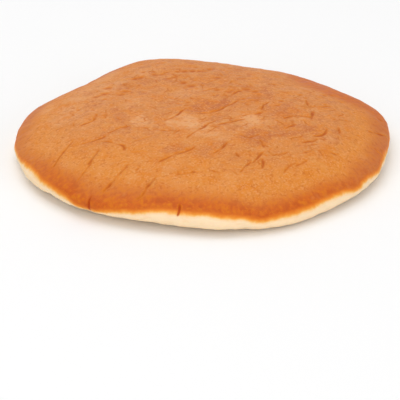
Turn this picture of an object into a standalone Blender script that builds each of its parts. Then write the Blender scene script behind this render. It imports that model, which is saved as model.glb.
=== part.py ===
# Buttermilk pancake, griddled on both faces: one closed solid.
#
# The upper crust is a low dome. It breaks over a steep shoulder into a thin rounded rim of
# pale crumb. Under the rim the batter curves in to the flat face that lay on the griddle,
# which is the face the pancake rests on. Shallow creases run over the crust, and two short
# slits split its edge.
#
# Sizes are in millimetres and directions in degrees. Points become metres in the mesh.

import bpy
import bmesh
import numpy as np
from mathutils import Vector
from mathutils.geometry import delaunay_2d_cdt

MM = 0.001

# Outline seen from above
MEAN_RADIUS = 53.2
# Each lobe: how many there are round the outline, how far they stand out, where one points
OUTLINE_LOBES = (
    (2, 0.7, 45),
    (3, 0.4, -57),
    (4, 0.8, 16),
    (5, 0.5, 31),
    (6, 0.6, -10),
    (7, 0.5, 13),
    (8, 0.4, 18),
)

# Rim: a half ellipse round the edge
RIM_REACH = 2.6
RIM_HEIGHT = 4.2
RIM_HEIGHT_WAVES = ((1, 0.6, 136), (2, 0.5, -59), (3, 0.7, -4))
RIM_HALF_THICKNESS = 2.6
RIM_THICKNESS_WAVES = ((2, 0.3, -10),)

# Upper crust
CROWN_HEIGHT = 14.8
SHOULDER_SLOPE = 0.66

# Flat face underneath, as a share of the outline
REST_SHARE = 0.72

# Parallel creases at the left of the crust
FAN_START = (-37.0, -18.0)
FAN_STEP = (7.6, -7.5)
FAN_DIRECTION = 240.0
FAN_LENGTHS = (12.0, 11.0, 10.0, 6.0)
FAN_BOW = 0.5

# Other creases: start x, start y, end x, end y, bow to the left of the run
CREASES = (
    (-30.5, -3.5, -35.5, -9, 1.5),
    (-20.5, -12, -34, -21, 0.6),
    (-21, -24, -11.5, -18, 0.4),
    (-8, -39.5, -0.5, -37.5, 0.3),
    (-13, -33.5, -2.5, -25, -0.3),
    (-5, -1, -11.5, -10, 0.5),
    (-4, -5.5, 10, 5.5, -2.0),
    (3, -9, -5.5, -22, -0.5),
    (4.5, -12, 12, -8, -0.5),
    (2, -29.5, 6.5, -23, -0.3),
    (8, -18.5, 15, -18, -1.8),
    (9, -38, 16, -27, 0.0),
    (17.5, -29.5, 22.5, -26.5, -0.3),
    (20.5, -36.5, 27.5, -28.5, 0.3),
    (24.5, -9, 22.5, -14.5, 1.0),
    (16, -2.5, 18.5, 3.5, 0.3),
    (27.5, -20.5, 33.5, -12, -1.0),
    (30.5, -1, 30, -7, 0.0),
    (29, 7, 36, 4, -2.6),
)
CREASE_DEPTH = 0.5
CREASE_HALF_WIDTH = 0.8
CREASE_STEP = 1.3
CREASE_CLEARANCE = 1.7

# Slits in the edge of the crust
SLIT_DIRECTIONS = (235.0, 262.0)
SLIT_LENGTH = 3.5
SLIT_DEPTH = 0.8

# Fineness of the mesh
SEGMENTS = 168
CRUST_SPACING = 2.2
EDGE_RINGS = (0.975, 0.94, 0.90)
FIELD_LIMIT = 0.88
RIM_ANGLES = (20.0, 0.0, -20.0, -45.0, -90.0)
UNDER_STEPS = (0.72, 0.46, 0.22, 0.0)
# For the triangulation: keep what lies inside the border, and merge points closer than this
INSIDE_BORDER = 1
MERGE_DISTANCE = 1e-6

CRUST_COLOUR = (0.73, 0.31, 0.09, 1.0)
CRUST_ROUGHNESS = 0.7


def waves(angle, terms):
    """Sum of depth * cos(count * (angle - direction)) over the terms."""
    total = np.zeros_like(angle)
    for count, depth, direction in terms:
        total += depth * np.cos(count * (angle - np.radians(direction)))
    return total


def outline_radius(angle):
    return MEAN_RADIUS + waves(angle, OUTLINE_LOBES)


def rim_point(angle, lift):
    """Radius and height on the rim's half ellipse, lift degrees above its outermost line."""
    half = RIM_HALF_THICKNESS + waves(angle, RIM_THICKNESS_WAVES)
    middle = RIM_HEIGHT + waves(angle, RIM_HEIGHT_WAVES)
    radius = outline_radius(angle) - RIM_REACH + RIM_REACH * np.cos(lift)
    return radius, middle + half * np.sin(lift)


def shoulder(angle):
    """Where the rim's curve is as steep as the crust's edge, and the crust begins."""
    half = RIM_HALF_THICKNESS + waves(angle, RIM_THICKNESS_WAVES)
    return rim_point(angle, np.arctan2(half, RIM_REACH * SHOULDER_SLOPE))


def crust_height(x, y):
    """Height of the upper crust: a dome that meets the shoulder at its slope."""
    angle = np.arctan2(y, x)
    edge_radius, edge_height = shoulder(angle)
    share = np.minimum(np.hypot(x, y) / edge_radius, 1.0)
    rise = CROWN_HEIGHT - edge_height
    power = SHOULDER_SLOPE * edge_radius / rise
    return edge_height + rise * (1.0 - share ** power)


def arc(start, end, bow, step):
    """Points about a step apart along a shallow arc, and its left-hand unit normal."""
    start = np.array(start, float)
    run = np.array(end, float) - start
    length = np.hypot(*run)
    normal = np.array((-run[1], run[0])) / length
    t = np.linspace(0.0, 1.0, max(3, round(length / step) + 1))[:, None]
    return start + t * run + 4.0 * bow * t * (1.0 - t) * normal, normal


def crease_lines():
    """Every crease as start, end and bow: the parallel fan and the single ones."""
    heading = np.radians(FAN_DIRECTION)
    for number, length in enumerate(FAN_LENGTHS):
        start = np.array(FAN_START) + number * np.array(FAN_STEP)
        end = start + length * np.array((np.cos(heading), np.sin(heading)))
        yield start, end, FAN_BOW
    for start_x, start_y, end_x, end_y, bow in CREASES:
        yield (start_x, start_y), (end_x, end_y), bow


def crease_points():
    """Plan points and depths of the creases: a floor that deepens to mid-length, and two lips."""
    points = []
    depths = []
    for start, end, bow in crease_lines():
        floor, normal = arc(start, end, bow, CREASE_STEP)
        t = np.linspace(0.0, 1.0, len(floor))
        depth = CREASE_DEPTH * np.sin(np.pi * (0.1 + 0.8 * t))
        for side in (-1, 0, 1):
            points.append(floor + side * CREASE_HALF_WIDTH * normal)
            depths.append(depth if side == 0 else np.zeros_like(depth))
    return np.concatenate(points), np.concatenate(depths)


def ring_plan(angle, share):
    """Plan points at a share of the shoulder's radius."""
    radius = share * shoulder(angle)[0]
    return np.stack((radius * np.cos(angle), radius * np.sin(angle)), axis=1)


def field_plan(taken):
    """Staggered rows of plan points inside the edge rings, clear of the creases."""
    half_count = int(MEAN_RADIUS / CRUST_SPACING) + 2
    columns = np.arange(-half_count, half_count + 1)
    rows = np.arange(-half_count - 4, half_count + 5)
    column, row = np.meshgrid(columns, rows)
    x = (column + 0.5 * (row % 2)).ravel() * CRUST_SPACING
    y = row.ravel() * CRUST_SPACING * np.sqrt(0.75)
    inside = np.hypot(x, y) < FIELD_LIMIT * shoulder(np.arctan2(y, x))[0]
    gap = np.hypot(x[:, None] - taken[None, :, 0], y[:, None] - taken[None, :, 1]).min(axis=1)
    keep = inside & (gap > CREASE_CLEARANCE)
    return np.stack((x[keep], y[keep]), axis=1)


def slit_depth(x, y):
    """Depth of the slits: deepest at the shoulder and nothing a slit's length inwards."""
    angle = np.arctan2(y, x)
    inward = shoulder(angle)[0] - np.hypot(x, y)
    half_step = np.pi / SEGMENTS
    depth = np.zeros_like(x)
    for direction in SLIT_DIRECTIONS:
        turn = np.abs(np.angle(np.exp(1j * (angle - np.radians(direction)))))
        depth += np.where(turn <= half_step, SLIT_DEPTH * np.clip(1.0 - inward / SLIT_LENGTH, 0.0, 1.0), 0.0)
    return depth


def upper_crust(mesh, angle):
    """Triangulate the crust inside the shoulder and return the shoulder's loop of vertices."""
    rings = [ring_plan(angle, share) for share in (1.0,) + EDGE_RINGS]
    creases, crease_depths = crease_points()
    field = field_plan(creases)
    plan = np.concatenate(rings + [creases, field])
    sunk = np.zeros(len(plan))
    first_crease = len(angle) * len(rings)
    sunk[first_crease:first_crease + len(creases)] = crease_depths
    border = [(i, (i + 1) % len(angle)) for i in range(len(angle))]
    vectors = [Vector(point) for point in plan]
    points, _, faces, sources, _, _ = delaunay_2d_cdt(vectors, border, [], INSIDE_BORDER, MERGE_DISTANCE)
    x = np.array([point.x for point in points])
    y = np.array([point.y for point in points])
    z = crust_height(x, y) - sunk[[source[0] for source in sources]] - slit_depth(x, y)
    vertices = [mesh.verts.new(position) for position in np.stack((x, y, z), axis=1) * MM]
    for face in faces:
        mesh.faces.new([vertices[i] for i in face])
    place = {source[0]: i for i, source in enumerate(sources)}
    return [vertices[place[i]] for i in range(len(angle))]


def add_ring(mesh, upper, angle, radius, height):
    """Add a ring of vertices and the band of faces that joins it to the ring above."""
    points = np.stack((radius * np.cos(angle), radius * np.sin(angle), height), axis=1) * MM
    lower = [mesh.verts.new(position) for position in points]
    for i in range(len(lower)):
        following = (i + 1) % len(lower)
        mesh.faces.new((upper[i], lower[i], lower[following], upper[following]))
    return lower


def rim_and_underside(mesh, loop, angle):
    """Carry the rim down round its nose and the underside in to the flat face."""
    for lift in np.radians(RIM_ANGLES):
        loop = add_ring(mesh, loop, angle, *rim_point(angle, lift))
    rim_radius, rim_bottom = rim_point(angle, np.radians(RIM_ANGLES[-1]))
    rest_radius = REST_SHARE * outline_radius(angle)
    for step in UNDER_STEPS:
        radius = rest_radius + step * (rim_radius - rest_radius)
        loop = add_ring(mesh, loop, angle, radius, rim_bottom * step ** 2)
    flat = mesh.faces.new(loop[::-1])
    bmesh.ops.poke(mesh, faces=[flat])


def centre_on_origin(mesh):
    """Move the mesh so that the middle of its plan box stands over the origin."""
    places = np.array([vertex.co for vertex in mesh.verts])
    middle = (places.min(axis=0) + places.max(axis=0)) / 2.0
    bmesh.ops.translate(mesh, verts=mesh.verts, vec=(-middle[0], -middle[1], 0.0))


def crust_material():
    material = bpy.data.materials.new("griddled_crust")
    material.use_nodes = True
    shader = material.node_tree.nodes["Principled BSDF"]
    shader.inputs["Base Color"].default_value = CRUST_COLOUR
    shader.inputs["Roughness"].default_value = CRUST_ROUGHNESS
    shader.inputs["Metallic"].default_value = 0.0
    material.diffuse_color = CRUST_COLOUR
    return material


def make_pancake():
    angle = np.linspace(0.0, 2.0 * np.pi, SEGMENTS, endpoint=False)
    mesh = bmesh.new()
    loop = upper_crust(mesh, angle)
    rim_and_underside(mesh, loop, angle)
    bmesh.ops.triangulate(mesh, faces=mesh.faces)
    bmesh.ops.recalc_face_normals(mesh, faces=mesh.faces)
    centre_on_origin(mesh)
    data = bpy.data.meshes.new("pancake")
    mesh.to_mesh(data)
    mesh.free()
    data.shade_smooth()
    data.materials.append(crust_material())
    pancake = bpy.data.objects.new("pancake", data)
    bpy.context.scene.collection.objects.link(pancake)


for leftover in list(bpy.data.objects):
    bpy.data.objects.remove(leftover)
make_pancake()
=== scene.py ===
# Looks of the buttermilk pancake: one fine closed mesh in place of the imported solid.
#
# The pancake's own shape is worked out in millimetres round the middle of its outline, and
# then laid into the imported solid's box. Directions are in degrees, anticlockwise from +X.
# A pair of values for ease() says where a change begins and where it is full. Grains are rows
# of a share, the size of the noise's lumps and the seed that it is drawn from.

import itertools
from types import SimpleNamespace

import bpy
import numpy as np
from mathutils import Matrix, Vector


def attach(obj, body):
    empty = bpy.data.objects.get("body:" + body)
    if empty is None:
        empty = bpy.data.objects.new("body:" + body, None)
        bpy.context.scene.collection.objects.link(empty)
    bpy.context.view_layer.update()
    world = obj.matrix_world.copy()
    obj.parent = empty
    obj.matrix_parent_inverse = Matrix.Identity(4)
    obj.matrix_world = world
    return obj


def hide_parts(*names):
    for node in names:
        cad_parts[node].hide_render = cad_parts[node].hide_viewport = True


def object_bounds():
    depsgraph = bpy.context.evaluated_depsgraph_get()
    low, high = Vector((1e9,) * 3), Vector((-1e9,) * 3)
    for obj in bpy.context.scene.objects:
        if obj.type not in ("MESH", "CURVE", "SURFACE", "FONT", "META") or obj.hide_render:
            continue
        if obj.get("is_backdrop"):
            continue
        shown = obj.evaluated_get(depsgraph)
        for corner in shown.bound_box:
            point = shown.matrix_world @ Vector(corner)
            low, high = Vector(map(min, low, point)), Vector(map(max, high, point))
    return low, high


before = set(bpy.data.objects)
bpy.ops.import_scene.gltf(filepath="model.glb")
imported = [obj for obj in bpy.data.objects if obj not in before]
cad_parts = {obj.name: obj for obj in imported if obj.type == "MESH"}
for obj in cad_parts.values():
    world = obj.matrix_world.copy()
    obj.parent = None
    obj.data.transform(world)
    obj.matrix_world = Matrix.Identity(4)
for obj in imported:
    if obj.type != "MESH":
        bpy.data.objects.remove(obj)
CAD_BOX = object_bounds()

MM = 0.001

# Side of the block of random numbers that a grain repeats
LATTICE_SIDE = 32


def ease(low, high, value):
    """0 below low, 1 above high, and a smooth S between; it falls where low is above high."""
    t = np.clip((value - low) / (high - low), 0.0, 1.0)
    return t * t * (3.0 - 2.0 * t)


def waves(angle, terms):
    """Sum of depth * cos(count * (angle - direction)) over the terms."""
    total = np.zeros_like(angle)
    for count, depth, direction in terms:
        total += depth * np.cos(count * (angle - np.radians(direction)))
    return total


def turn_from(angle, direction):
    """Angle from a direction, in degrees between -180 and 180."""
    return (np.degrees(angle) - direction + 180.0) % 360.0 - 180.0


def strayed(angle, usual, strays):
    """The usual value, plus change * exp(-(turn from direction / half width) ** 2) for each stray."""
    total = np.full_like(angle, usual)
    for direction, half_width, change in strays:
        total += change * np.exp(-(turn_from(angle, direction) / half_width) ** 2)
    return total


def grain(points, size, seed):
    """Smooth noise from -1 to 1: random numbers on a lattice size apart, eased between its corners."""
    lattice = np.random.default_rng(seed).uniform(-1.0, 1.0, (LATTICE_SIDE,) * 3)
    cell = np.floor(points / size).astype(int)
    t = ease(0.0, 1.0, points / size - cell)
    total = np.zeros(len(points))
    for corner in itertools.product((0, 1), repeat=3):
        weight = np.prod(np.where(corner, t, 1.0 - t), axis=1)
        x, y, z = ((cell + corner) % LATTICE_SIDE).T
        total += weight * lattice[x, y, z]
    return total


def grains(points, terms):
    """Sum of share * grain over the rows."""
    total = np.zeros(len(points))
    for share, size, seed in terms:
        total += share * grain(points, size, seed)
    return total


def wandered(points, shifts):
    """Places of the points in plan, moved on each axis by that axis's grains."""
    return points[:, :2] + np.stack([grains(points, terms) for terms in shifts], axis=1)


def strewn(random, reach, count=None):
    """Random places within reach of the middle, even over the area: one, or a count of them."""
    radius = reach * np.sqrt(random.uniform(size=count))
    angle = random.uniform(0.0, 2.0 * np.pi, count)
    return np.stack((radius * np.cos(angle), radius * np.sin(angle)), axis=-1)


# Outline seen from above, and the rim: a half ellipse round the edge, down to its lowest lift
# angle. Waves: count, depth, direction
MEAN_RADIUS = 53.2
OUTLINE_LOBES = (
    (2, 0.7, 45),
    (3, 0.4, -57),
    (4, 0.8, 16),
    (5, 0.5, 31),
    (6, 0.6, -10),
    (7, 0.5, 13),
    (8, 0.4, 18),
)
RIM_REACH = 2.6
RIM_HEIGHT = 4.2
RIM_HEIGHT_WAVES = ((1, 0.6, 136), (2, 0.5, -59), (3, 0.7, -4))
RIM_HALF_THICKNESS = 2.6
RIM_THICKNESS_WAVES = ((2, 0.3, -10),)
RIM_LOWEST = -np.pi / 2.0

# Upper crust and the flat face underneath
CROWN_HEIGHT = 14.8
SHOULDER_SLOPE = 0.66
REST_SHARE = 0.72

# Fineness of the mesh: cells across the crust and across the flat face, rings round the rim
# and on to the flat face
CRUST_CELLS = 232
FLAT_CELLS = CRUST_CELLS // 2
RIM_RINGS = 20
UNDER_RINGS = 12


def outline_radius(angle):
    """Radius of the outline: the mean and its lobes."""
    return MEAN_RADIUS + waves(angle, OUTLINE_LOBES)


def rim_half(angle):
    """Half of the rim's thickness: the mean and its waves."""
    return RIM_HALF_THICKNESS + waves(angle, RIM_THICKNESS_WAVES)


def rim_point(angle, lift):
    """Radius and height on the rim's half ellipse, at a lift angle above its outermost line."""
    radius = outline_radius(angle) - RIM_REACH + RIM_REACH * np.cos(lift)
    return radius, RIM_HEIGHT + waves(angle, RIM_HEIGHT_WAVES) + rim_half(angle) * np.sin(lift)


def shoulder_lift(angle):
    """Lift angle at which the rim's curve is as steep as the crust's edge."""
    return np.arctan2(rim_half(angle), RIM_REACH * SHOULDER_SLOPE)


def rim_run(angle, lift):
    """Length along the rim's curve from its outermost line up to a lift angle, by its mean radius."""
    return lift * (RIM_REACH + rim_half(angle)) / 2.0


def ring_points(angle, radius, height):
    """Points at an angle, radius and height."""
    return np.stack((radius * np.cos(angle), radius * np.sin(angle), height), axis=1)


def crust_points(angle, share):
    """Points of the upper crust: the height falls from the crown by the share to a power."""
    edge_radius, edge_height = rim_point(angle, shoulder_lift(angle))
    rise = CROWN_HEIGHT - edge_height
    height = edge_height + rise * (1.0 - share ** (SHOULDER_SLOPE * edge_radius / rise))
    return ring_points(angle, share * edge_radius, height)


def disc_grid(cells):
    """Angles and shares of a square grid drawn out to a disc: each square ring becomes a circle."""
    line = np.linspace(-1.0, 1.0, cells + 1)
    u, v = [side.ravel() for side in np.meshgrid(line, line)]
    sideways = np.abs(u) >= np.abs(v)
    share = np.maximum(np.abs(u), np.abs(v))
    along = np.where(sideways, u, v)
    across = np.where(sideways, v, -u) / np.where(along == 0.0, 1.0, along)
    start = np.where(sideways, 0.0, np.pi / 2.0) + np.where(along < 0.0, np.pi, 0.0)
    return start + across * np.pi / 4.0, share


def disc_quads(cells):
    """Corner numbers of the grid's quads, anticlockwise seen from above."""
    row, column = [index.ravel() for index in np.mgrid[0:cells, 0:cells]]
    corner = row * (cells + 1) + column
    return np.stack((corner, corner + 1, corner + cells + 2, corner + cells + 1), axis=1)


def disc_edge(cells):
    """Numbers of the grid's outer points, anticlockwise from the corner that is down and left."""
    side = np.arange(cells)
    last = cells * (cells + 1)
    first_row, last_row = side, last + cells - side
    right, left = cells + side * (cells + 1), last - side * (cells + 1)
    return np.concatenate((first_row, right, last_row, left))


def band_quads(upper, lower):
    """Quads between two rings with as many points each, facing outwards."""
    return np.stack((lower, np.roll(lower, -1), np.roll(upper, -1), upper), axis=1)


def halving_triangles(upper, lower):
    """Triangles between a ring and a ring with half its points, facing outwards."""
    first, middle, last = upper[::2], upper[1::2], np.roll(upper[::2], -1)
    following = np.roll(lower, -1)
    sets = ((lower, middle, first), (lower, following, middle), (following, last, middle))
    return np.concatenate([np.stack(corners, axis=1) for corners in sets])


def rim_rings(around):
    """Rings from the crust's edge down the rim to its lowest line: angle, points and run of each."""
    for step in np.linspace(0.0, 1.0, RIM_RINGS + 1)[1:]:
        lift = shoulder_lift(around) * (1.0 - step) + RIM_LOWEST * step
        yield around, ring_points(around, *rim_point(around, lift)), rim_run(around, lift)


def under_rings(around):
    """Rings from the rim's lowest line in to the flat face; the height falls by the way left, squared."""
    rim_radius, rim_height = rim_point(around, RIM_LOWEST)
    rest_radius = REST_SHARE * outline_radius(around)
    for left in np.linspace(1.0, 0.0, UNDER_RINGS + 1)[1:]:
        radius = rest_radius + left * (rim_radius - rest_radius)
        run = rim_run(around, RIM_LOWEST) - (rim_radius - radius)
        yield around, ring_points(around, radius, rim_height * left ** 2), run


def pancake_form():
    """Points and faces of the smooth closed form, with each point's angle and run.

    The run is the length along the surface from the rim's outermost line: above 0 towards the
    crown and below 0 towards the flat face. Rings lead from the crust's grid to the flat
    face's, which has half as many cells.
    """
    angle, share = disc_grid(CRUST_CELLS)
    lift = shoulder_lift(angle)
    inward = (1.0 - share) * rim_point(angle, lift)[0] * np.hypot(1.0, 0.5 * SHOULDER_SLOPE)
    sets = [(angle, crust_points(angle, share), rim_run(angle, lift) + inward)]
    quads = [disc_quads(CRUST_CELLS)]
    count = len(angle)
    upper = disc_edge(CRUST_CELLS)
    around = angle[upper]
    for ring in itertools.chain(rim_rings(around), under_rings(around[::2])):
        lower = count + np.arange(len(ring[0]))
        if len(lower) < len(upper):
            triangles = halving_triangles(upper, lower)
        else:
            quads.append(band_quads(upper, lower))
        sets.append(ring)
        count += len(lower)
        upper = lower

    angle, share = disc_grid(FLAT_CELLS)
    inner = share < 1.0
    number = np.empty(len(angle), int)
    number[inner] = count + np.arange(inner.sum())
    number[disc_edge(FLAT_CELLS)] = upper
    quads.append(number[disc_quads(FLAT_CELLS)][:, ::-1])
    angle, share = angle[inner], share[inner]
    radius = share * (REST_SHARE * outline_radius(angle))
    run = rim_run(angle, RIM_LOWEST) - (outline_radius(angle) - RIM_REACH - radius)
    sets.append((angle, ring_points(angle, radius, np.zeros_like(angle)), run))
    angles, points, runs = [np.concatenate(item) for item in zip(*sets)]
    return points, np.concatenate(quads).tolist() + triangles.tolist(), angles, runs


# How high the crust's lower edge lies on the rim's curve, as a lift angle in degrees, and
# where it strays from that: direction, half width, change of lift
CRUST_EDGE_LIFT = 22.0
CRUST_EDGE_STRAYS = (
    (267, 12, 32),
    (256, 4, 14),
    (249, 4, -14),
    (243, 3, -12),
    (265, 3, -9),
    (277, 4, 9),
    (286, 4, -19),
    (297, 4, -9),
    (234, 8, -62),
    (222, 4, -9),
    (206, 6, 10),
    (192, 7, -12),
    (180, 9, -12),
    (311, 6, 9),
    (321, 4, -25),
    (336, 6, -24),
    (352, 7, -22),
    (4, 13, -20),
    (40, 14, 12),
    (75, 12, -20),
    (120, 14, 22),
)
CRUST_EDGE_GRAINS = ((0.30, 5.0, 11), (0.10, 1.9, 12))

# Lift angle in degrees above which the marks of the upper crust may lie
UPPER_LIFT = 10.0

# Slits in the edge of the crust: direction, how far they run inwards from its lower edge. They
# open over a range of distances from that edge.
SLITS = ((234.5, 6.0), (262.0, 3.8))
SLIT_HALF_WIDTH = 0.34
SLIT_DEPTH = 0.3
SLIT_MOUTH = (-0.8, -0.1)
SLIT_GRAINS = ((0.25, 1.6, 31),)


def crust_edge_run(angle, points):
    """Run at which the crust ends on the rim: the edge's lift and strays, made ragged by grains."""
    lift = strayed(angle, CRUST_EDGE_LIFT, CRUST_EDGE_STRAYS)
    return rim_run(angle, np.radians(lift)) + grains(points, CRUST_EDGE_GRAINS)


def edge_slits(angle, points, from_edge):
    """Mask of the slits that split the crust's lower edge and fade from half way in.

    Each is exp(-(distance from a line straight inwards / half width) ** 2).
    """
    mask = np.zeros(len(angle))
    for direction, length in SLITS:
        across = np.radians(turn_from(angle, direction)) * MEAN_RADIUS + grains(points, SLIT_GRAINS)
        inward = ease(*SLIT_MOUTH, from_edge) * (1.0 - ease(0.5 * length, length, from_edge))
        mask += np.exp(-(across / SLIT_HALF_WIDTH) ** 2) * inward
    return mask


# Creases: start x, start y, end x, end y, bow to the left of the run, strength
CREASES = (
    (-36.5, -16.5, -40, -23.5, 0.3, 0.8),
    (-39, -22, -43, -28.5, 0.3, 0.9),
    (-29, -24.5, -32, -30.5, 0.2, 1.1),
    (-30.5, -28.5, -35, -36.5, 0.4, 0.8),
    (-20.5, -32.5, -25.5, -39, 0.3, 0.75),
    (-24, -37.5, -28, -43, 0.3, 0.9),
    (-13, -38.5, -16.5, -44, 0.3, 0.9),
    (-15.5, -43, -18.5, -46, 0.2, 1.0),
    (-30.5, -3.5, -32, -8.5, 0.3, 1.05),
    (-31.5, -7.5, -35.5, -9, 0.2, 1.0),
    (-20.5, -12, -26.5, -16, -0.3, 1.15),
    (-25, -14.5, -29, -19.5, -0.3, 0.85),
    (-27.5, -18, -34, -21, 0.3, 0.95),
    (-28.5, -20.5, -25, -22, 0.2, 0.8),
    (-24.5, -23, -21.5, -24.5, 0.1, 0.65),
    (-22.5, -23.5, -22, -27.5, 0.1, 0.95),
    (-20.5, -28.3, -15, -28.5, 0.2, 0.6),
    (-22, -24.5, -11.5, -18, 0.4, 0.6),
    (-15, -14.5, -8.5, -17.5, -0.4, 0.85),
    (-8.5, -19.5, -7, -16, 0.3, 0.95),
    (-5, -1, -11.5, -10, 0.5, 1.1),
    (-5.5, -4.5, 2.5, -4.5, -0.4, 0.8),
    (0.5, -4.5, 10, 5.5, -1.0, 1.0),
    (3, -9, -2.5, -16.5, 0.2, 0.95),
    (-1.5, -15, -5.5, -22, -0.3, 0.85),
    (2, -13, 11.5, -8, -0.6, 0.9),
    (-13, -33.5, -7, -28.5, -0.3, 1.0),
    (-8.5, -30.5, -2.5, -25, -0.4, 0.95),
    (2, -29.5, 6.5, -23, -0.3, 0.95),
    (-3, -26.5, -1, -28, 0.0, 0.75),
    (-19, -36.5, -17.5, -35, 0.0, 0.8),
    (-8, -39, -0.5, -37.5, 0.3, 0.6),
    (1, -37, 4, -38.5, 0.1, 0.8),
    (6, -36.5, 9, -39, 0.0, 0.8),
    (8, -29, 9.5, -31, 0.0, 0.95),
    (8, -18.5, 12, -20.5, 0.2, 0.8),
    (11.5, -20.5, 15, -18, -0.3, 1.1),
    (15, -21.5, 16, -26, 0.0, 1.15),
    (16, -27, 12, -34, 0.2, 0.8),
    (12.5, -32.5, 9, -38, -0.3, 0.95),
    (15.5, -30.5, 15, -36, 0.2, 1.0),
    (17, -27, 19, -29.5, 0.0, 0.75),
    (17.5, -29.5, 22.5, -26.5, -0.3, 0.9),
    (20, -11.5, 21.5, -15, 0.2, 0.7),
    (16.5, -11, 18.5, -15.5, 0.2, 0.8),
    (24.5, -9, 24.5, -13, 0.3, 1.15),
    (25, -11.5, 22, -14.5, -0.2, 1.05),
    (22, -8, 25, -5.5, 0.2, 1.05),
    (16, -2.5, 17, 2, 0.3, 1.2),
    (16.5, 0.5, 19, 3.5, 0.1, 1.1),
    (13.5, -6, 16.5, -4, 0.2, 0.9),
    (29, 7, 30, 0.5, -0.3, 1.1),
    (29.5, 1.5, 37, 4.5, -0.4, 0.65),
    (30.5, -1, 30, -7, 0.0, 1.2),
    (26.5, -5.5, 31, -6.5, 0.2, 0.6),
    (31, 0, 35.5, -0.5, 0.2, 0.35),
    (33.5, -11.5, 32.5, -16.5, 0.3, 1.15),
    (33, -15.5, 29.5, -17.5, 0.3, 1.2),
    (31.5, -18, 27.5, -20.5, 0.4, 0.9),
    (28, -22.5, 31.5, -20.5, 0.3, 0.6),
    (27.5, -20.5, 27, -25, 0.3, 0.7),
    (26.5, -26, 29, -25, 0.0, 0.5),
    (37.5, -8, 37, -13, 0.2, 0.9),
    (27.5, -28.5, 24, -32.5, 0.2, 0.95),
    (25.5, -30, 20.5, -36.5, -0.3, 0.85),
    (34, -23.5, 36.5, -24, 0.0, 0.9),
    (45.5, -5.5, 52.5, -2.2, 0.1, 1.25),
    (46.5, -13.5, 49, -15.5, 0.0, 0.7),
    (-2.5, 10, 3, 13.5, 0.3, 0.7),
    (0, 17, 3.5, 20.5, 0.2, 0.75),
    (7.5, 7.5, 10.5, 12, 0.2, 0.9),
)
CREASE_DEPTH = 0.22

# Lip beside a crease: its height, and how many half widths it stands off
CREASE_LIP = 0.04
LIP_OFFSET = 2.2

# Half width of a crease: the least, and what full strength adds. A taper of a low power keeps
# it wide nearly to its ends.
CREASE_LEAST = 0.24
CREASE_GROWTH = 0.2
CREASE_TAPER = 0.4

# How the creases waver along x and along y, and their strength: its usual share and its patches
CREASE_WANDER = (((0.38, 3.0, 21), (0.19, 1.2, 24)), ((0.38, 3.0, 22), (0.19, 1.2, 25)))
CREASE_STRENGTH = 0.76
CREASE_PATCHES = ((0.4, 1.7, 23),)

# How far beyond its ends a crease is still worked out
CREASE_MARGIN = 3.0

# Short cracks strewn over the crust: how many, how far from its middle, their ranges of length,
# bow and strength, and the mean and spread of their direction
STRAY_CRACKS = 120
STRAY_REACH = 44.0
STRAY_LENGTHS = (1.0, 3.2)
STRAY_BOWS = (-0.3, 0.3)
STRAY_STRENGTHS = (0.15, 0.42)
STRAY_DIRECTION = (52.0, 32.0)
STRAY_SEED = 5

# Shares of a short crack's strength: left and right of an x, and behind the same y
STRAY_LINE = 8.0
STRAY_LEFT = 0.7
STRAY_RIGHT = 1.3
STRAY_BACK = 0.55


def arc_masks(plan, start, end, bow, half_width):
    """Masks of a shallow arc and of the lips beside it.

    Each is exp(-(distance / half width) ** 2), from the arc or from a line along each side of
    it, times a taper that falls to 0 at the arc's two ends.
    """
    length = np.hypot(*(end - start))
    along = (end - start) / length
    normal = np.array((-along[1], along[0]))
    offset = plan - start
    t = offset @ along / length
    arch = np.clip(4.0 * t * (1.0 - t), 0.0, None)
    across = offset @ normal - bow * arch
    taper = arch ** CREASE_TAPER
    closeness = np.exp(-(across / half_width) ** 2)
    lip = np.exp(-((np.abs(across) - LIP_OFFSET * half_width) / half_width) ** 2)
    return closeness * taper, lip * taper


def laid_creases():
    """The creases of the list: start, end, bow and strength of each."""
    for *ends, bow, strength in CREASES:
        start, end = np.array(ends, float).reshape(2, 2)
        yield start, end, bow, strength


def stray_cracks():
    """Short cracks strewn over the crust, deeper on its right-hand side and weaker towards its back."""
    random = np.random.default_rng(STRAY_SEED)
    for _ in range(STRAY_CRACKS):
        centre = strewn(random, STRAY_REACH)
        heading = np.radians(random.normal(*STRAY_DIRECTION))
        half = 0.5 * random.uniform(*STRAY_LENGTHS) * np.array((np.cos(heading), np.sin(heading)))
        strength = random.uniform(*STRAY_STRENGTHS)
        strength *= STRAY_RIGHT if centre[0] > STRAY_LINE else STRAY_LEFT
        strength *= STRAY_BACK if centre[1] > STRAY_LINE else 1.0
        yield centre - half, centre + half, random.uniform(*STRAY_BOWS), strength


def crust_creases(points, upper):
    """Masks of the creases' floors and of their raised lips, for the points of the upper crust."""
    plan = wandered(points, CREASE_WANDER)
    patchy = CREASE_STRENGTH + grains(points, CREASE_PATCHES)
    floor = np.zeros(len(points))
    lips = np.zeros(len(points))
    for start, end, bow, strength in itertools.chain(laid_creases(), stray_cracks()):
        reach = np.hypot(*(end - start)) / 2.0 + CREASE_MARGIN
        distance = np.hypot(*(plan - (start + end) / 2.0).T)
        near = np.flatnonzero(upper & (distance < reach))
        half_width = CREASE_LEAST + CREASE_GROWTH * strength
        closeness, lip = arc_masks(plan[near], start, end, bow, half_width)
        floor[near] = np.maximum(floor[near], strength * closeness * patchy[near])
        lips[near] = np.maximum(lips[near], strength * lip)
    return floor, lips * (1.0 - floor)


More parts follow.
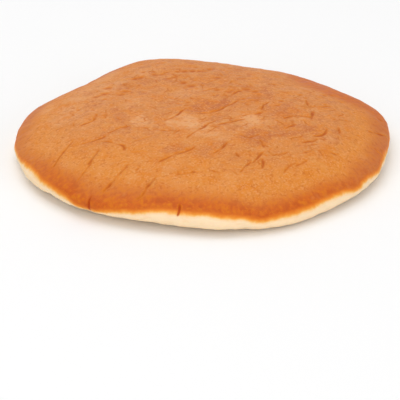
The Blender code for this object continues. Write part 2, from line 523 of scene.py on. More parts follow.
# Pits: x, y, spread, count for each cluster, and loose ones strewn as far as a reach, with
# their ranges of size and strength
PIT_CLUSTERS = (
    (10.5, 12, 3.2, 26),
    (-4, 15.5, 1.6, 6),
    (-27, 13, 3.0, 8),
    (24, -10, 3.0, 8),
    (28, -20, 2.0, 5),
)
LOOSE_PITS = 70
PIT_REACH = 45.0
PIT_SIZES = (0.35, 0.65)
PIT_STRENGTHS = (0.2, 0.8)
PIT_DEPTH = 0.22
PIT_SEED = 8

# Pits behind this y are larger by a share of their size, and stronger
BACK_LINE = 5.0
BACK_PIT_GROWTH = 0.4
BACK_PIT_STRENGTH = 0.2

# Larger spots where a bubble closed: centre x, y, half width, strength
SPOTS = (
    (-14.5, 25, 1.5, 1.0),
    (-12.8, 25.2, 1.3, 0.85),
    (-19.2, 23, 1.5, 1.0),
    (-20.6, 22.6, 1.3, 1.0),
    (-8, 27.3, 1.1, 0.85),
    (-6.1, 27.6, 1.3, 1.0),
    (-3.6, 28, 1.3, 1.0),
    (-1.6, 28, 1.1, 1.0),
    (-0.3, 27.6, 1.3, 1.0),
    (1.3, 30, 1.1, 1.0),
    (3.8, 22.1, 1.4, 1.0),
    (-6.3, 17.9, 1.3, 1.0),
    (-3.8, 15.1, 1.8, 1.0),
    (-28.4, 16.4, 1.5, 1.0),
    (-24.3, 9.9, 1.3, 1.0),
    (-23.2, 11.9, 1.4, 0.85),
    (-29.2, 11.4, 1.3, 1.0),
    (-31.5, 9.4, 1.1, 1.0),
    (-35.9, 1.6, 0.7, 0.8),
    (-26.3, 1.8, 0.8, 0.7),
    (21.7, 4.7, 0.9, 0.9),
    (13.2, 4.2, 0.8, 0.8),
    (10.5, 3.2, 0.8, 0.8),
    (-5, 3, 0.8, 0.8),
    (-7.5, 2, 0.7, 0.8),
    (7, 10.5, 1.1, 1.0),
    (12, 13, 1.4, 1.0),
    (11, 5.5, 0.9, 0.9),
    (14.5, 11.5, 1.1, 1.0),
    (22.5, 7, 0.8, 0.8),
    (20.5, 1, 1.0, 0.9),
    (12, 1.5, 0.9, 0.8),
    (34.5, 4.5, 0.7, 0.8),
    (29, 8.5, 0.7, 0.8),
    (3.5, 12.5, 1.1, 1.0),
    (50.6, 7.2, 1.0, 1.0),
)

# Burst bubbles of the underside: how many, how far from its middle, range of sizes, the share
# of them that are larger and by how much, and how steep their walls are
PORES = 330
PORE_REACH = 49.0
PORE_SIZES = (0.5, 1.0)
LARGE_PORES = 0.15
LARGE_PORE_GROWTH = 0.5
PORE_STEEPNESS = 4
PORE_DEPTH = 0.55
PORE_SEED = 13

# How many sizes away from its middle a pit or a pore is still worked out
MARK_REACH = 3.0

# Slight swells and hollows near the crust's far edge: centre x, y, half width, height
SWELLS = (
    (-20.5, 43.7, 4.2, 0.4),
    (-35.2, 32.9, 3.2, -0.3),
    (19.5, 41, 5.0, -0.24),
    (37, 32.3, 4.5, 0.22),
    (5.5, 43.3, 4.0, 0.18),
)


def raise_mask(mask, points, where, place, size, strength=1.0, steepness=2):
    """Raise a mask to strength * exp(-(distance / size) ** steepness) round a place in plan."""
    distance = np.hypot(*(points[:, :2] - place).T)
    near = np.flatnonzero(where & (distance < MARK_REACH * size))
    mask[near] = np.maximum(mask[near], strength * np.exp(-(distance[near] / size) ** steepness))


def crust_pits(points, upper):
    """Mask of the small round pits: clusters, loose ones strewn over the crust, and larger spots.

    Pits towards the back are larger and deeper.
    """
    random = np.random.default_rng(PIT_SEED)
    places = [random.normal((x, y), spread, (count, 2)) for x, y, spread, count in PIT_CLUSTERS]
    places.append(strewn(random, PIT_REACH, LOOSE_PITS))
    mask = np.zeros(len(points))
    for place in np.concatenate(places):
        back = float(place[1] > BACK_LINE)
        size = random.uniform(*PIT_SIZES) * (1.0 + BACK_PIT_GROWTH * back)
        strength = random.uniform(*PIT_STRENGTHS) + BACK_PIT_STRENGTH * back
        raise_mask(mask, points, upper, place, size, strength)
    for *place, size, strength in SPOTS:
        raise_mask(mask, points, upper, place, size, strength)
    return mask


def under_pores(points, below):
    """Mask of the burst bubbles of the underside: open craters, strewn evenly, with none on the rim."""
    random = np.random.default_rng(PORE_SEED)
    mask = np.zeros(len(points))
    for _ in range(PORES):
        place = strewn(random, PORE_REACH)
        size = random.uniform(*PORE_SIZES) + LARGE_PORE_GROWTH * (random.uniform() < LARGE_PORES)
        raise_mask(mask, points, below, place, size, steepness=PORE_STEEPNESS)
    return mask


def crust_swells(points):
    """Sum of height * exp(-(distance in plan / half width) ** 2) over the swells."""
    total = np.zeros(len(points))
    for x, y, half_width, height in SWELLS:
        distance = np.hypot(points[:, 0] - x, points[:, 1] - y)
        total += height * np.exp(-(distance / half_width) ** 2)
    return total


# Brown ring inside the crust's edge: how far in it is full, how far it then fades, and where
# it's wider or narrower: direction, half width, share of change. It starts over a range of
# distances from the edge.
RING_FULL = 2.8
RING_FADE = 7.6
RING_STRAYS = (
    (198, 10, -0.36),
    (219, 6, -0.12),
    (240, 16, 0.25),
    (282, 10, -0.12),
    (313, 16, -0.3),
    (346, 10, -0.17),
    (3, 9, 0.2),
    (24, 14, 0.45),
    (74, 14, 0.4),
)
RING_GRAINS = ((0.5, 8.0, 51), (0.3, 2.8, 52))
RING_START = (-0.5, 0.5)

# Where the ring is paler: direction, half width, share of change
RING_PALER = ((193, 19, -0.32),)

# The ring is bright towards a direction and turns duller from some way off it, and half so
# inwards. The dulling at the sides and back is painted sheen, a grazing reflection.
UNSHEENED_DIRECTION = 262.0
UNSHEENED_TO_SHEEN = (36.0, 76.0)
INNER_DULL = 0.5
INNER_DULL_FROM = (2.5, 7.0)

# Far side of the crust, where the brown reaches further in: centre x, y, half length, half
# width, direction, softness of the border, then how strong it is, how much of the ring's
# painted sheen it takes away and how far sunk it is
FAR_BROWN = (43, 27, 25.0, 16.0, 138, 0.3)
FAR_STRENGTH = 0.95
FAR_SHEEN_CUT = 0.5
FAR_DROP = 0.06

# Plates of the crust that took more or less colour, and one thin pale line along the far
# crest that is a painted highlight: centre x, y, half length, half width, direction, softness
# of the border, tint (below 0 is paler, above 0 browner and pinker)
PLATES = (
    (-5.3, -10.4, 5.4, 5.7, 0, 0.13, -0.8),
    (-17.8, -9, 5.8, 2.8, 110, 0.175, -0.7),
    (13.2, -10, 4.0, 4.8, 0, 0.3, -0.55),
    (-20, 3, 5.0, 4.0, 20, 0.175, -0.3),
    (2, -17, 6.0, 3.0, 30, 0.175, -0.4),
    (2.2, 0.6, 8.0, 3.6, 34, 0.12, 1.35),
    (-24, -6, 2.2, 5.5, 10, 0.175, 0.6),
    (-17, 13.5, 8.0, 3.0, 15, 0.175, 0.2),
    (22, -3, 6.0, 5.5, 20, 0.1, 0.8),
    (24, -15, 9.0, 3.5, 25, 0.12, 0.8),
    (14, -20, 5.5, 5.0, 60, 0.1, 0.8),
    (-8, -26, 5.0, 2.5, 35, 0.175, 0.7),
    (17, 7.5, 3.0, 5.5, 0, 0.12, 0.6),
    (-26, -17, 3.0, 2.0, 30, 0.175, 0.4),
    # Painted highlight: a thin pale line along the crest in front of the far brown side
    (32.5, 15.5, 8.0, 1.3, 138, 0.175, -0.6),
    (-30, 17, 9.0, 5.0, 30, 0.35, -0.2),
    (-17, 38, 8.0, 5.0, 10, 0.175, 0.6),
    (2, -28, 11.0, 5.0, 0, 0.175, 0.35),
    (-31, -22, 6.0, 5.0, 30, 0.175, 0.35),
    (2.7, -14, 3.5, 3.0, 0, 0.2, -0.55),
    (31.5, -25, 6.0, 5.0, 0, 0.3, -0.45),
    (3.4, -25.5, 3.5, 2.2, 30, 0.2, 0.5),
    (-8, 13, 9.0, 5.0, 0, 0.3, -0.4),
)

# Border of a plate: its middle, as a share of the way out, and how it wavers along x and y
PLATE_BORDER = 0.925
PLATE_WANDER = (((1.2, 4.0, 41),), ((1.2, 4.0, 42),))

# The crust is paler left of and behind these ranges of x and y
LEFT_PALER = 0.3
LEFT_PALER_X = (-14.0, -32.0)
LEFT_PALER_Y = (-16.0, -6.0)

# Blotches of tint, and the share of them that is left in front of a range of y
BLOTCHES = ((0.25, 9.0, 43), (0.4, 3.5, 44))
FRONT_BLOTCHES = 0.55
FRONT_TO_BACK = (-34.0, -10.0)

# Worn crust: how far from the edge it begins, its slanting line towards the back, and the
# share of it in front of that line
WORN_INSIDE = (8.0, 17.0)
WORN_BACK = (-40.0, -8.0)
WORN_SLANT = 0.35
WORN_FRONT = 0.25
WORN_GRAINS = ((0.25, 7.0, 56),)

# Plates that stayed smooth: centre x, y, half length, half width, direction, softness
SMOOTH_PLATES = (
    (2.2, 0.6, 8.0, 3.6, 34, 0.15),
    (-5.3, -10.4, 5.4, 5.7, 0, 0.15),
)
SMOOTHNESS = 0.65

# Griddling of the underside: how far from the flat face's edge it begins, and its blotches
GRIDDLED_FROM = (-4.0, 3.0)
GRIDDLED_BORDER = ((2.5, 5.0, 55),)
GRIDDLED_SHARE = 0.6
GRIDDLED_BLOTCHES = ((0.24, 6.5, 53), (0.2, 2.6, 54))


def soft_ellipse(points, centre_x, centre_y, half_length, half_width, direction, softness):
    """1 inside an ellipse in plan and 0 outside, with a border that is soft and wavers."""
    x, y = (wandered(points, PLATE_WANDER) - (centre_x, centre_y)).T
    heading = np.radians(direction)
    along = x * np.cos(heading) + y * np.sin(heading)
    across = y * np.cos(heading) - x * np.sin(heading)
    share = np.hypot(along / half_length, across / half_width)
    return 1.0 - ease(PLATE_BORDER - softness, PLATE_BORDER + softness, share)


def plate_tint(points, upper):
    """Sum of the plates' tints, the painted highlight along the far crest among them, each over its
    own soft ellipse, a paler left side and blotches.
    """
    x, y, _ = points.T
    tint = np.zeros(len(points))
    for *ellipse, amount in PLATES:
        tint += amount * soft_ellipse(points, *ellipse)
    tint -= LEFT_PALER * ease(*LEFT_PALER_X, x) * ease(*LEFT_PALER_Y, y)
    blotchy = FRONT_BLOTCHES + (1.0 - FRONT_BLOTCHES) * ease(*FRONT_TO_BACK, y)
    tint += grains(points, BLOTCHES) * blotchy
    return np.where(upper, tint, 0.0)


def ring_brown(points, angle, from_edge):
    """The brown ring inside the crust's edge: full for RING_FULL, then fading over RING_FADE."""
    width = strayed(angle, 1.0, RING_STRAYS)
    inward = from_edge + grains(points, RING_GRAINS)
    ring = 1.0 - ease(RING_FULL * width, (RING_FULL + RING_FADE) * width, inward)
    ring *= strayed(angle, 1.0, RING_PALER)
    ring = np.maximum(ring, FAR_STRENGTH * soft_ellipse(points, *FAR_BROWN))
    return ring * ease(*RING_START, from_edge)


def ring_dullness_and_sheen(points, angle, from_edge):
    """How far the ring is dulled: 0 in front and rising to a half inwards, 1 at the sides and
    back, where the dulling is painted sheen, a grazing reflection.

    On the far brown side it is dulled half as much.
    """
    dull = ease(*UNSHEENED_TO_SHEEN, np.abs(turn_from(angle, UNSHEENED_DIRECTION)))
    dull = np.maximum(dull, INNER_DULL * ease(*INNER_DULL_FROM, from_edge))
    return dull * (1.0 - FAR_SHEEN_CUT * soft_ellipse(points, *FAR_BROWN))


def worn_crust(points, from_edge):
    """How crackled and tan the crust is: most inside and to the back, less on the smooth plates."""
    x, y, _ = points.T
    back = ease(*WORN_BACK, y + WORN_SLANT * x)
    worn = WORN_FRONT + (1.0 - WORN_FRONT) * back + grains(points, WORN_GRAINS)
    worn *= ease(*WORN_INSIDE, from_edge)
    for ellipse in SMOOTH_PLATES:
        worn *= 1.0 - SMOOTHNESS * soft_ellipse(points, *ellipse)
    return np.clip(worn * (1.0 - soft_ellipse(points, *FAR_BROWN)), 0.0, 1.0)


def griddle_contact(points, angle, run):
    """How far the underside is griddled: 0 on the pale rim, up to 1 on the flat face it rested on."""
    rest_run = rim_run(angle, RIM_LOWEST) - (1.0 - REST_SHARE) * outline_radius(angle) + RIM_REACH
    inside = rest_run - run + grains(points, GRIDDLED_BORDER)
    return ease(*GRIDDLED_FROM, inside) * (GRIDDLED_SHARE + grains(points, GRIDDLED_BLOTCHES))


# Unevenness of the whole surface but the flat face, more of it where the crust is worn, and
# lumps round the rim
UNEVEN_GRAINS = ((0.16, 11.0, 66), (0.14, 4.5, 62), (0.07, 1.7, 63))
WORN_RELIEF = ((0.14, 3.2, 67), (0.07, 1.4, 68))
RIM_LUMPS = ((0.34, 8.0, 64), (0.187, 3.5, 65), (0.085, 1.6, 69))

# Heights over which the unevenness begins, and runs over which the lumps and swells do
UNEVEN_FROM = (0.0, 1.2)
LUMPS_FROM = (3.0, -1.0)
SWELLS_FROM = (-1.0, 3.0)

# Masks that the mesh keeps for the material, the least and most distance from the crust's
# edge, how much of a pit counts as a crease, and how much of a tint the ring hides
MASKS = ("edge", "under", "ring", "dull", "worn", "tint", "crease", "slit", "pore")
EDGE_RANGE = (-3.0, 14.0)
PIT_AS_CREASE = 0.7
RING_COVER = 0.8

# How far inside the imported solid's box the pancake stays
BOX_MARGIN = 0.01 * MM


def broad_relief(points, run, upper, worn):
    """Height of the surface's broad relief: unevenness, the sunk far side, rim lumps and swells."""
    relief = grains(points, UNEVEN_GRAINS) + worn * grains(points, WORN_RELIEF)
    relief -= FAR_DROP * soft_ellipse(points, *FAR_BROWN) * upper
    relief += ease(*LUMPS_FROM, run) * grains(points, RIM_LUMPS)
    return relief * ease(*UNEVEN_FROM, points[:, 2]) + ease(*SWELLS_FROM, run) * crust_swells(points)


def lay_in_box(points, low, high):
    """Stretch the points a hair on each axis so that they fill the solid's box, just inside it."""
    least, most = points.min(axis=0), points.max(axis=0)
    low = np.array(low) + BOX_MARGIN * np.array((1.0, 1.0, 0.0))
    high = np.array(high) - BOX_MARGIN
    return low + (points - least) / (most - least) * (high - low)


def put(name, data):
    """Put an object with its data in the scene, at the origin."""
    thing = bpy.data.objects.new(name, data)
    bpy.context.scene.collection.objects.link(thing)
    return thing


def make_pancake(material):
    """The pancake: the smooth form moved along its normals by relief, creases, pits, slits and pores.

    The masks are kept on its points, for the material to read.
    """
    points, faces, angle, run = pancake_form()
    mesh = bpy.data.meshes.new("griddled_pancake")
    mesh.from_pydata(points.tolist(), [], faces)
    mesh.update()
    normals = np.empty(points.size)
    mesh.vertices.foreach_get("normal", normals)

    from_edge = run - crust_edge_run(angle, points)
    upper = run > rim_run(angle, np.radians(UPPER_LIFT))
    floor, lips = crust_creases(points, upper)
    pits = crust_pits(points, upper)
    slits = edge_slits(angle, points, from_edge)
    pores = under_pores(points, run < rim_run(angle, RIM_LOWEST))
    worn = worn_crust(points, from_edge)
    relief = broad_relief(points, run, upper, worn) + CREASE_LIP * lips - CREASE_DEPTH * floor
    relief -= PIT_DEPTH * pits + SLIT_DEPTH * slits + PORE_DEPTH * pores
    points = lay_in_box((points + relief[:, None] * normals.reshape(-1, 3)) * MM, *CAD_BOX)
    mesh.vertices.foreach_set("co", points.astype(np.float32).ravel())

    points = points / MM
    edge = np.clip(from_edge, *EDGE_RANGE)
    under = griddle_contact(points, angle, run)
    ring = ring_brown(points, angle, from_edge)
    # How far the ring is dulled, which at its sides and back is painted sheen
    dull = ring_dullness_and_sheen(points, angle, from_edge)
    tint = plate_tint(points, upper) * (1.0 - RING_COVER * ring)
    crease = np.clip(floor + PIT_AS_CREASE * pits + slits, 0.0, 1.0)
    slit = np.clip(slits, 0.0, 1.0)
    for name, values in zip(MASKS, (edge, under, ring, dull, worn, tint, crease, slit, pores)):
        layer = mesh.attributes.new(name, "FLOAT", "POINT")
        layer.data.foreach_set("value", values.astype(np.float32))
    mesh.shade_smooth()
    mesh.materials.append(material)
    mesh.update()
    return put("griddled_pancake", mesh)


def srgb(red, green, blue):
    """Linear colour of a picture's 0 to 255 values, by the sRGB curve."""
    value = np.array((red, green, blue)) / 255.0
    linear = np.where(value <= 0.04045, value / 12.92, ((value + 0.055) / 1.055) ** 2.4)
    return (*linear.tolist(), 1.0)


# Colours of the crust's edge, by how far in from it, in millimetres
EDGE_COLOURS = (
    (-0.9, srgb(251, 222, 183)),
    (-0.3, srgb(250, 208, 156)),
    (0.0, srgb(246, 187, 106)),
    (0.35, srgb(238, 154, 60)),
    (0.8, srgb(228, 130, 38)),
    (1.5, srgb(214, 108, 26)),
)
GOLDEN = srgb(223, 139, 56)
RING_BROWN = srgb(208, 101, 26)
# Duller brown of the ring, which at its sides and back is painted sheen, a grazing reflection
RING_DULL_AND_SHEEN = srgb(203, 117, 59)
RING_FLECK = srgb(190, 78, 12)
TAN = srgb(210, 138, 80)
# Pale colour of the paler plates and flecks, and of the painted highlight along the far crest
PALE_PLATE_AND_HIGHLIGHT = srgb(230, 166, 110)
PINK_PLATE = srgb(197, 112, 54)
AMBER = srgb(217, 122, 20)
FLECK_BROWN = srgb(188, 92, 30)
CREASE_BROWN = srgb(178, 76, 4)
SLIT_BROWN = srgb(182, 62, 0)
CRUMB_SHADE = srgb(240, 202, 150)
UNDER_TAN = srgb(222, 158, 90)
UNDER_BROWN = srgb(196, 118, 58)
PORE_CREAM = srgb(240, 208, 160)

# Every range below says where a mask or a noise begins to count and where it is full, and then
# what it gives at those two ends, where that isn't 0 and 1. A swing is the most that a noise
# adds or takes away.
NOISE_RANGE = (0.3, 0.7)

# Noises of the batter: scale per metre, detail, roughness
NOISES = {
    "broad": (160.0, 2.0, 0.5),
    "splashes": (230.0, 2.0, 0.6),
    "middle": (420.0, 3.0, 0.6),
    "fine": (850.0, 3.0, 0.6),
    "finest": (1700.0, 2.0, 0.6),
}

# Streaks round the crumb of the rim: their noise, and how the place is stretched to flatten it
STREAKS = (300.0, 3.0, 0.6)
STREAK_STRETCH = (1.0, 1.0, 3.0)

# Crackle of the worn crust: cells per metre, half width of a crack and how far it is bent in
# millimetres, strength, the noises that bend it and break it up, the range of the latter over
# which it comes out, and what wear adds to that noise
CRACKLE_CELLS = 190.0
CRACKLE_HALF_WIDTH = 0.48
CRACKLE_BEND = 0.7
CRACKLE_STRENGTH = 0.62
CRACKLE_BENDS = 500.0
CRACKLE_BREAKS = (300.0, 1.0, 0.5)
CRACKLE_SHOWN = (0.5, 0.64)
CRACKLE_BY_WORN = (0.1, 0.9, -0.3, 0.015)

# Fine relief of the batter: shares of the middle and the fine noise, how it sinks along the
# creases, its strength and height
MIDDLE_RELIEF = 1.4
FINE_RELIEF = 0.6
CREASE_SINK = (0.2, 0.6)
BUMP_STRENGTH = 0.6
BUMP_HEIGHT = 0.2 * MM

# Finish of the batter: how rough it is by the middle noise, and the shader's other values
BATTER_ROUGHNESS = (*NOISE_RANGE, 0.50, 0.66)
BATTER_FINISH = {
    "Metallic": 0.0,
    "Specular IOR Level": 0.16,
    "Subsurface Weight": 0.1,
    "Subsurface Radius": (1.0, 0.45, 0.2),
    "Subsurface Scale": 1.0 * MM,
}


def feed(tree, socket, value):
    """Link an input to another node's output, or set it to a number, vector or colour."""
    if isinstance(value, bpy.types.NodeSocket):
        tree.links.new(value, socket)
    else:
        socket.default_value = value


def add(tree, kind, inputs=None, **properties):
    """Add a node of a kind, set its properties and feed its inputs by name."""
    node = tree.nodes.new("ShaderNode" + kind)
    for name, value in properties.items():
        setattr(node, name, value)
    for name, value in (inputs or {}).items():
        feed(tree, node.inputs[name], value)
    return node


def combine(tree, operation, *values):
    """Chain of Math nodes over sockets or numbers, each on the last result and the next value."""
    result = values[0]
    for value in values[1:]:
        node = add(tree, "Math", operation=operation)
        feed(tree, node.inputs[0], result)
        feed(tree, node.inputs[1], value)
        result = node.outputs["Value"]
    return result


def spread(tree, value, low, high, to_low=0.0, to_high=1.0):
    """Map a value's range to another, clamped."""
    inputs = {"Value": value, "From Min": low, "From Max": high, "To Min": to_low, "To Max": to_high}
    return add(tree, "MapRange", inputs).outputs["Result"]


def swing(tree, value, amount):
    """Map the usual range of a noise to minus and plus an amount."""
    return spread(tree, value, *NOISE_RANGE, -amount, amount)


def noise(tree, place, scale, detail, roughness):
    """Noise over a place, from 0 to 1 and mostly near a half."""
    inputs = {"Vector": place, "Scale": scale, "Detail": detail, "Roughness": roughness}
    return add(tree, "TexNoise", inputs).outputs["Fac"]


def kept_mask(tree, name):
    """One of the masks that the mesh keeps on its points."""
    return add(tree, "Attribute", attribute_name=name).outputs["Fac"]


def tinted(tree, amount, under, over, blend="MIX"):
    """Mix one colour over another by an amount; each of the three is a socket or a value."""
    node = add(tree, "Mix", data_type="RGBA", blend_type=blend, clamp_factor=True)
    inputs = {socket.identifier: socket for socket in node.inputs}
    feed(tree, inputs["Factor_Float"], amount)
    feed(tree, inputs["A_Color"], under)
    feed(tree, inputs["B_Color"], over)
    return next(socket for socket in node.outputs if socket.identifier == "Result_Color")


def laid_over(tree, colour, over, mask, mask_range):
    """Lay one colour over another as far as a mask is through its range."""
    return tinted(tree, spread(tree, mask, *mask_range), colour, over)


def ramp(tree, value, stops):
    """Colour ramp over a value; each stop is a value and a colour."""
    low, high = stops[0][0], stops[-1][0]
    node = add(tree, "ValToRGB", {"Fac": spread(tree, value, low, high)})
    elements = node.color_ramp.elements
    while len(elements) < len(stops):
        elements.new(0.5)
    for element, (place, colour) in zip(elements, stops):
        element.position = (place - low) / (high - low)
        element.color = colour
    return node.outputs["Color"]


def crackle(tree, place, amount):
    """Fine broken cracks: parts of the borders between bent cells, more of them where amount is high."""
    bends = add(tree, "TexNoise", {"Vector": place, "Scale": CRACKLE_BENDS}).outputs["Color"]
    bent = tinted(tree, CRACKLE_BEND * MM, place, bends, "LINEAR_LIGHT")
    inputs = {"Vector": bent, "Scale": CRACKLE_CELLS}
    cells = add(tree, "TexVoronoi", inputs, feature="DISTANCE_TO_EDGE")
    half_width = CRACKLE_HALF_WIDTH * MM * CRACKLE_CELLS
    lines = spread(tree, cells.outputs["Distance"], half_width, 0.0, 0.0, CRACKLE_STRENGTH)
    more = spread(tree, amount, *CRACKLE_BY_WORN)
    patches = combine(tree, "ADD", noise(tree, place, *CRACKLE_BREAKS), more)
    return combine(tree, "MULTIPLY", lines, spread(tree, patches, *CRACKLE_SHOWN))


# Flecks of the ring: darker ones, lighter ones of two noises, and what the ring's dulling,
# painted sheen at its sides and back, leaves of them
RING_DARK_FLECKS = (0.52, 0.38, 0.0, 0.85)
RING_LIGHT_FLECKS = (0.53, 0.65, 0.0, 0.5)
RING_FINE_FLECKS = (0.53, 0.68, 0.0, 0.5)
RING_FLECKS_BY_DULL_AND_SHEEN = (0.0, 1.0, 1.0, 0.4)


def ring_colour(tree, masks, noises):
    """Brown of the ring, with darker and with amber flecks, which are fainter where it is dulled;
    at its sides and back that dulling is painted sheen.
    """
    bright = spread(tree, masks.dull, *RING_FLECKS_BY_DULL_AND_SHEEN)
    colour = tinted(tree, masks.dull, RING_BROWN, RING_DULL_AND_SHEEN)
    dark = spread(tree, noises.middle, *RING_DARK_FLECKS)
    colour = tinted(tree, combine(tree, "MULTIPLY", dark, bright), colour, RING_FLECK)
    light = spread(tree, noises.middle, *RING_LIGHT_FLECKS)
    light = combine(tree, "ADD", light, spread(tree, noises.fine, *RING_FINE_FLECKS))
    return tinted(tree, combine(tree, "MULTIPLY", light, bright), colour, AMBER)


# Tan of the worn crust, tint of the plates, and how uneven both are by ring and by wear
TAN_RANGE = (0.1, 1.4, 0.0, 0.9)
TAN_SWING = 0.5
PALE_RANGE = (-0.1, -1.1)
PINK_RANGE = (0.15, 1.1)
PLATE_SWING = 0.3
UNEVEN_BY_RING = (0.1, 0.8, 1.0, 0.2)
UNEVEN_BY_WORN = (0.0, 0.7, 0.5, 1.0)


def worn_colour(tree, colour, uneven, masks, noises):
    """The worn crust's tan over the golden one, in uneven patches."""
    patchy = combine(tree, "MULTIPLY", swing(tree, noises.middle, TAN_SWING), uneven)
    return laid_over(tree, colour, TAN, combine(tree, "ADD", masks.worn, patchy), TAN_RANGE)


def plate_mask(tree, uneven, masks, noises):
    """Tint of the plates, made uneven, less so on the ring and where the crust isn't worn."""
    uneven = combine(tree, "MULTIPLY", uneven, spread(tree, masks.worn, *UNEVEN_BY_WORN))
    shift = combine(tree, "MULTIPLY", swing(tree, noises.broad, PLATE_SWING), uneven)
    return combine(tree, "ADD", masks.tint, shift)


# Flecks and splashes of the crust, and what is left of them by ring, pale plates and wear
AMBER_FLECKS = (0.50, 0.64)
AMBER_BY_RING = (0.0, 0.8, 0.5, 0.25)
AMBER_SPLASHES = (0.51, 0.61)
SPLASHES_BY_RING = (0.0, 0.6, 0.55, 0.0)
ROSY_SPLASHES = (0.47, 0.37)
ROSY_FLECKS = (0.44, 0.36, 0.0, 0.7)
ROSY_BY_PALE = (0.2, 0.7, 1.0, 0.3)
ROSY_BY_WORN = (0.2, 0.9)
BROWN_FLECKS = (0.48, 0.30, 0.0, 0.5)
PALE_FLECKS = (0.50, 0.68, 0.0, 0.55)
PALE_BY_RING = (0.7, 0.0)


def flecked(tree, colour, ring, pale, masks, noises):
    """Amber, rosy, brown and pale flecks over the crust, fainter on its ring."""
    amber = spread(tree, ring, *AMBER_BY_RING)
    amber = combine(tree, "MULTIPLY", amber, spread(tree, noises.fine, *AMBER_FLECKS))
    colour = tinted(tree, amber, colour, AMBER)
    off_ring = spread(tree, ring, *SPLASHES_BY_RING)
    amber = combine(tree, "MULTIPLY", spread(tree, noises.splashes, *AMBER_SPLASHES), off_ring)
    colour = tinted(tree, amber, colour, AMBER)
    rosy = spread(tree, noises.splashes, *ROSY_SPLASHES)
    rosy = combine(tree, "ADD", rosy, spread(tree, noises.middle, *ROSY_FLECKS))
    off_pale = spread(tree, pale, *ROSY_BY_PALE)
    on_worn = spread(tree, masks.worn, *ROSY_BY_WORN)
    rosy = combine(tree, "MULTIPLY", rosy, off_ring, off_pale, on_worn)
    colour = tinted(tree, rosy, colour, PINK_PLATE)
    colour = laid_over(tree, colour, FLECK_BROWN, noises.fine, BROWN_FLECKS)
    light = spread(tree, noises.finest, *PALE_FLECKS)
    light = combine(tree, "MULTIPLY", light, spread(tree, ring, *PALE_BY_RING))
    return tinted(tree, light, colour, PALE_PLATE_AND_HIGHLIGHT)


# How much the ring, the underside, the creases and, by two noises, the crust's edge swing
RING_SWING = 0.12
UNDER_SWING = 0.35
CREASE_SWING = 0.12
EDGE_SWINGS = (0.2, 0.1)


def crust_colour(tree, masks, noises):
    """The griddled crust: golden, with its brown ring, worn tan, plates and flecks."""
    ring = combine(tree, "ADD", masks.ring, swing(tree, noises.middle, RING_SWING))
    uneven = spread(tree, ring, *UNEVEN_BY_RING)
    colour = tinted(tree, ring, GOLDEN, ring_colour(tree, masks, noises))
    colour = worn_colour(tree, colour, uneven, masks, noises)
    plate = plate_mask(tree, uneven, masks, noises)
    # Paler plates, the painted highlight along the far crest among them
    pale = spread(tree, plate, *PALE_RANGE)
    colour = tinted(tree, pale, colour, PALE_PLATE_AND_HIGHLIGHT)
    colour = laid_over(tree, colour, PINK_PLATE, plate, PINK_RANGE)
    return flecked(tree, colour, ring, pale, masks, noises)


# Where the crumb below the crust's edge is streaked, and by how much
CRUMB_RANGE = (0.1, -0.3)
STREAK_RANGE = (0.50, 0.34, 0.0, 0.3)


def rim_colour(tree, place, from_edge):
    """The pale crumb of the rim, streaked with shade, and the browning edge of the crust."""
    stretched = add(tree, "Mapping", {"Vector": place, "Scale": STREAK_STRETCH}).outputs["Vector"]
    streaks = spread(tree, noise(tree, stretched, *STREAKS), *STREAK_RANGE)
    shade = combine(tree, "MULTIPLY", spread(tree, from_edge, *CRUMB_RANGE), streaks)
    return tinted(tree, shade, ramp(tree, from_edge, EDGE_COLOURS), CRUMB_SHADE)


# Where the underside takes its two colours, and the floors of the pores theirs
UNDER_TAN_RANGE = (0.25, 0.7, 0.0, 0.85)
UNDER_BROWN_RANGE = (0.75, 1.25, 0.0, 0.9)
PORE_RANGE = (0.3, 1.0, 0.0, 0.7)


def underside_over(tree, colour, masks, noises):
    """Patchy griddling of the underside, and the paler floors of its burst bubbles."""
    blotch = combine(tree, "ADD", masks.under, swing(tree, noises.broad, UNDER_SWING))
    colour = laid_over(tree, colour, UNDER_TAN, blotch, UNDER_TAN_RANGE)
    colour = laid_over(tree, colour, UNDER_BROWN, blotch, UNDER_BROWN_RANGE)
    return laid_over(tree, colour, PORE_CREAM, masks.pore, PORE_RANGE)


def fine_relief(tree, crease, noises):
    """Normal of the batter's fine grains, sunk along the creases."""
    height = combine(tree, "MULTIPLY", noises.fine, FINE_RELIEF)
    height = combine(tree, "ADD", height, combine(tree, "MULTIPLY", noises.middle, MIDDLE_RELIEF))
    height = combine(tree, "SUBTRACT", height, spread(tree, crease, *CREASE_SINK))
    bump = {"Strength": BUMP_STRENGTH, "Distance": BUMP_HEIGHT, "Height": height}
    return add(tree, "Bump", bump).outputs["Normal"]


def new_material(name, values):
    """A material with a Principled shader, and the values set on the shader's own sockets."""
    material = bpy.data.materials.new(name)
    material.use_nodes = True
    shader = material.node_tree.nodes["Principled BSDF"]
    for socket, value in values.items():
        shader.inputs[socket].default_value = value
    return material, shader


# Where creases turn amber and then brown, where slits do, and where the crust covers the rim
CREASE_AMBER_RANGE = (0.12, 0.45, 0.0, 0.6)
CREASE_BROWN_RANGE = (0.32, 0.9, 0.0, 0.85)
SLIT_RANGE = (0.1, 0.8, 0.0, 0.9)
CRUST_RANGE = (0.8, 1.8)


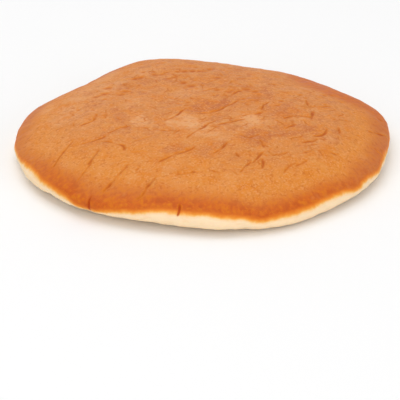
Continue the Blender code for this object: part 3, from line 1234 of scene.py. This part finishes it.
def batter_material():
    """Griddled batter: pale crumb, golden crust with its brown ring, plates, creases and flecks."""
    material, shader = new_material("griddled_batter", BATTER_FINISH)
    tree = material.node_tree
    place = add(tree, "TexCoord").outputs["Object"]
    noises = SimpleNamespace(**{name: noise(tree, place, *shape) for name, shape in NOISES.items()})
    masks = SimpleNamespace(**{name: kept_mask(tree, name) for name in MASKS})

    cracks = combine(tree, "MAXIMUM", masks.crease, crackle(tree, place, masks.worn))
    crease = combine(tree, "ADD", cracks, swing(tree, noises.fine, CREASE_SWING))
    middle_swing, fine_swing = EDGE_SWINGS
    ragged = swing(tree, noises.middle, middle_swing)
    ragged = combine(tree, "ADD", ragged, swing(tree, noises.fine, fine_swing))
    from_edge = combine(tree, "ADD", masks.edge, ragged)

    colour = crust_colour(tree, masks, noises)
    colour = laid_over(tree, colour, AMBER, crease, CREASE_AMBER_RANGE)
    colour = laid_over(tree, colour, CREASE_BROWN, crease, CREASE_BROWN_RANGE)
    colour = laid_over(tree, rim_colour(tree, place, from_edge), colour, from_edge, CRUST_RANGE)
    colour = laid_over(tree, colour, SLIT_BROWN, masks.slit, SLIT_RANGE)
    colour = underside_over(tree, colour, masks, noises)
    feed(tree, shader.inputs["Base Color"], colour)
    feed(tree, shader.inputs["Roughness"], spread(tree, noises.middle, *BATTER_ROUGHNESS))
    feed(tree, shader.inputs["Normal"], fine_relief(tree, crease, noises))
    return material


# Floor: half its side and how far it lies below the flat face, in metres, and its finish
FLOOR_HALF = 3.0
FLOOR_GAP = 0.00005
FLOOR_FINISH = {
    "Base Color": (0.97, 0.97, 0.97, 1.0),
    "Roughness": 0.9,
    "Specular IOR Level": 0.1,
}

# Light: the sky's strength, the point that the softboxes aim at, and the place, side and
# power of each, in metres and watts
SKY_STRENGTH = 0.55
SOFTBOX_AIM = (0.0, 0.0, 0.01)
SOFTBOXES = {
    "overhead": ((-0.10, 0.10, 0.80), 0.8, 2.6),
    "front_left": ((-0.40, -0.80, 0.45), 0.6, 2.0),
    "front_right": ((0.70, -0.60, 0.35), 0.6, 1.8),
    "backdrop": ((-0.30, 1.60, 0.70), 1.4, 3.0),
}

# Camera: how far down it looks in degrees, how far off it is in metres, its lens and sensor,
# and the point it aims at in millimetres
CAMERA_DROP = 26.0
CAMERA_DISTANCE = 0.55
CAMERA_LENS = 170.2
CAMERA_SENSOR = 36.0
CAMERA_AIM = (-0.9, 0.0, -15.0)


def make_floor():
    """Plain pale floor, a large sheet just under the pancake."""
    sides = ((-1, -1), (1, -1), (1, 1), (-1, 1))
    corners = [(FLOOR_HALF * x, FLOOR_HALF * y, -FLOOR_GAP) for x, y in sides]
    mesh = bpy.data.meshes.new("floor")
    mesh.from_pydata(corners, [], [(0, 1, 2, 3)])
    mesh.materials.append(new_material("floor", FLOOR_FINISH)[0])
    floor = put("floor", mesh)
    floor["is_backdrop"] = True


def add_softbox(name, place, side, power):
    """Square area light at a place, turned to look at the softboxes' aim."""
    data = bpy.data.lights.new(name, "AREA")
    data.shape = "SQUARE"
    data.size = side
    data.energy = power
    light = put(name, data)
    light.location = place
    light.rotation_mode = "QUATERNION"
    light.rotation_quaternion = (Vector(SOFTBOX_AIM) - Vector(place)).to_track_quat("-Z", "Y")


def light_studio():
    """Plain white sky, softboxes round the pancake, and colours shown as they are."""
    world = bpy.data.worlds.new("studio")
    world.use_nodes = True
    background = world.node_tree.nodes["Background"]
    background.inputs["Color"].default_value = (1.0, 1.0, 1.0, 1.0)
    background.inputs["Strength"].default_value = SKY_STRENGTH
    bpy.context.scene.world = world
    for name, (place, side, power) in SOFTBOXES.items():
        add_softbox(name, place, side, power)
    bpy.context.scene.view_settings.view_transform = "Standard"


def set_camera():
    """Camera in front of the pancake and above it, looking down at the aim."""
    data = bpy.data.cameras.new("camera")
    data.lens = CAMERA_LENS
    data.sensor_width = CAMERA_SENSOR
    drop = np.radians(CAMERA_DROP)
    camera = put("camera", data)
    backwards = Vector((0.0, -np.cos(drop), np.sin(drop)))
    camera.location = Vector(CAMERA_AIM) * MM + CAMERA_DISTANCE * backwards
    camera.rotation_euler = (np.pi / 2.0 - drop, 0.0, 0.0)
    bpy.context.scene.camera = camera


def write_sizes():
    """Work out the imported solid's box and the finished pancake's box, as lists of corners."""
    boxes = {"cad": CAD_BOX, "visual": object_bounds()}
    {name: [list(corner) for corner in box] for name, box in boxes.items()}


pancake = make_pancake(batter_material())
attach(pancake, "root")
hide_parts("pancake")
make_floor()
light_studio()
set_camera()
write_sizes()
